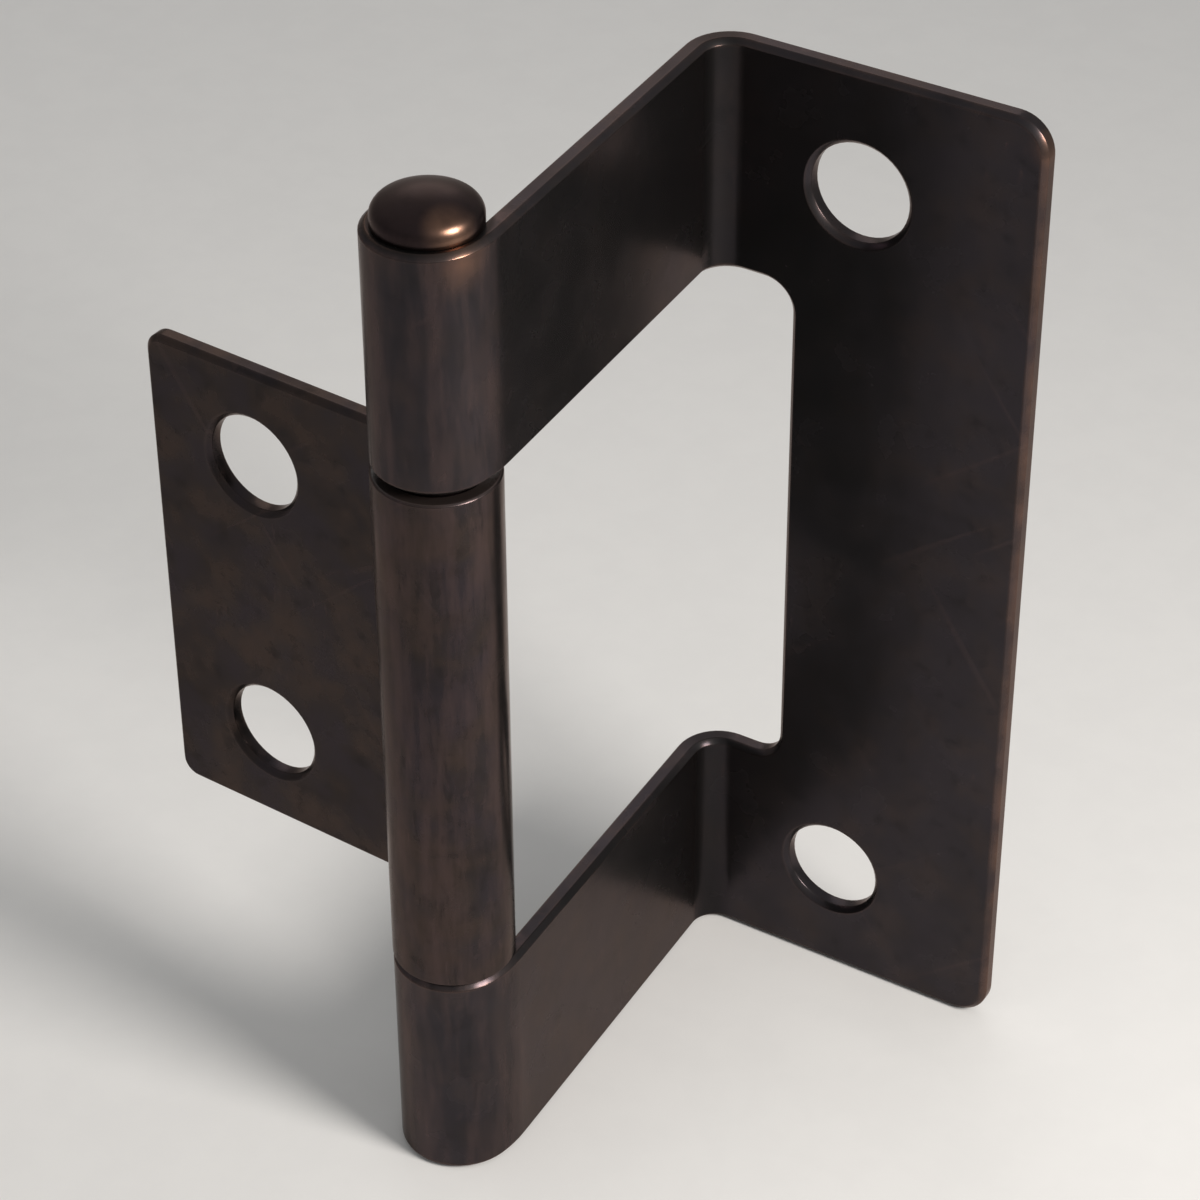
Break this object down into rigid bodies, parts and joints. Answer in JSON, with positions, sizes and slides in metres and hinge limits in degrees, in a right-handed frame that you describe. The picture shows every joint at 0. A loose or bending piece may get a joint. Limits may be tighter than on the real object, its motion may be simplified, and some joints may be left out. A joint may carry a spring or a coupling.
{
  "type": "cranked flush hinge",
  "caption": "Folded sheet-steel hinge whose cranked leaf wraps a board's edge and back, with a small inner leaf that swings through the crank's window on a headed pin.",
  "frame": {"origin": "midway between the flange's two screw holes, on the flange face that meets the board", "axes": "+Z along the pin towards its head, -Y out of the flange's mounting face, +X the way the flange reaches from the pin"},
  "size_m": [0.0355, 0.0232, 0.0515],
  "materials": {
    "bronzed_sheet": "satin",
    "bronzed_pin": "satin"
  },
  "bodies": {
    "cranked_leaf": {"cranked_leaf": "bronzed_sheet", "hinge_pin": "bronzed_pin"},
    "inner_leaf": {"inner_leaf": "bronzed_sheet"}
  },
  "joints": [
    {"name": "leaf_swing", "type": "hinge", "parent": "cranked_leaf", "child": "inner_leaf", "pos_m": [-0.0091, -0.0195, 0], "axis": [0, 0, 1], "continuous": true}
  ]
}
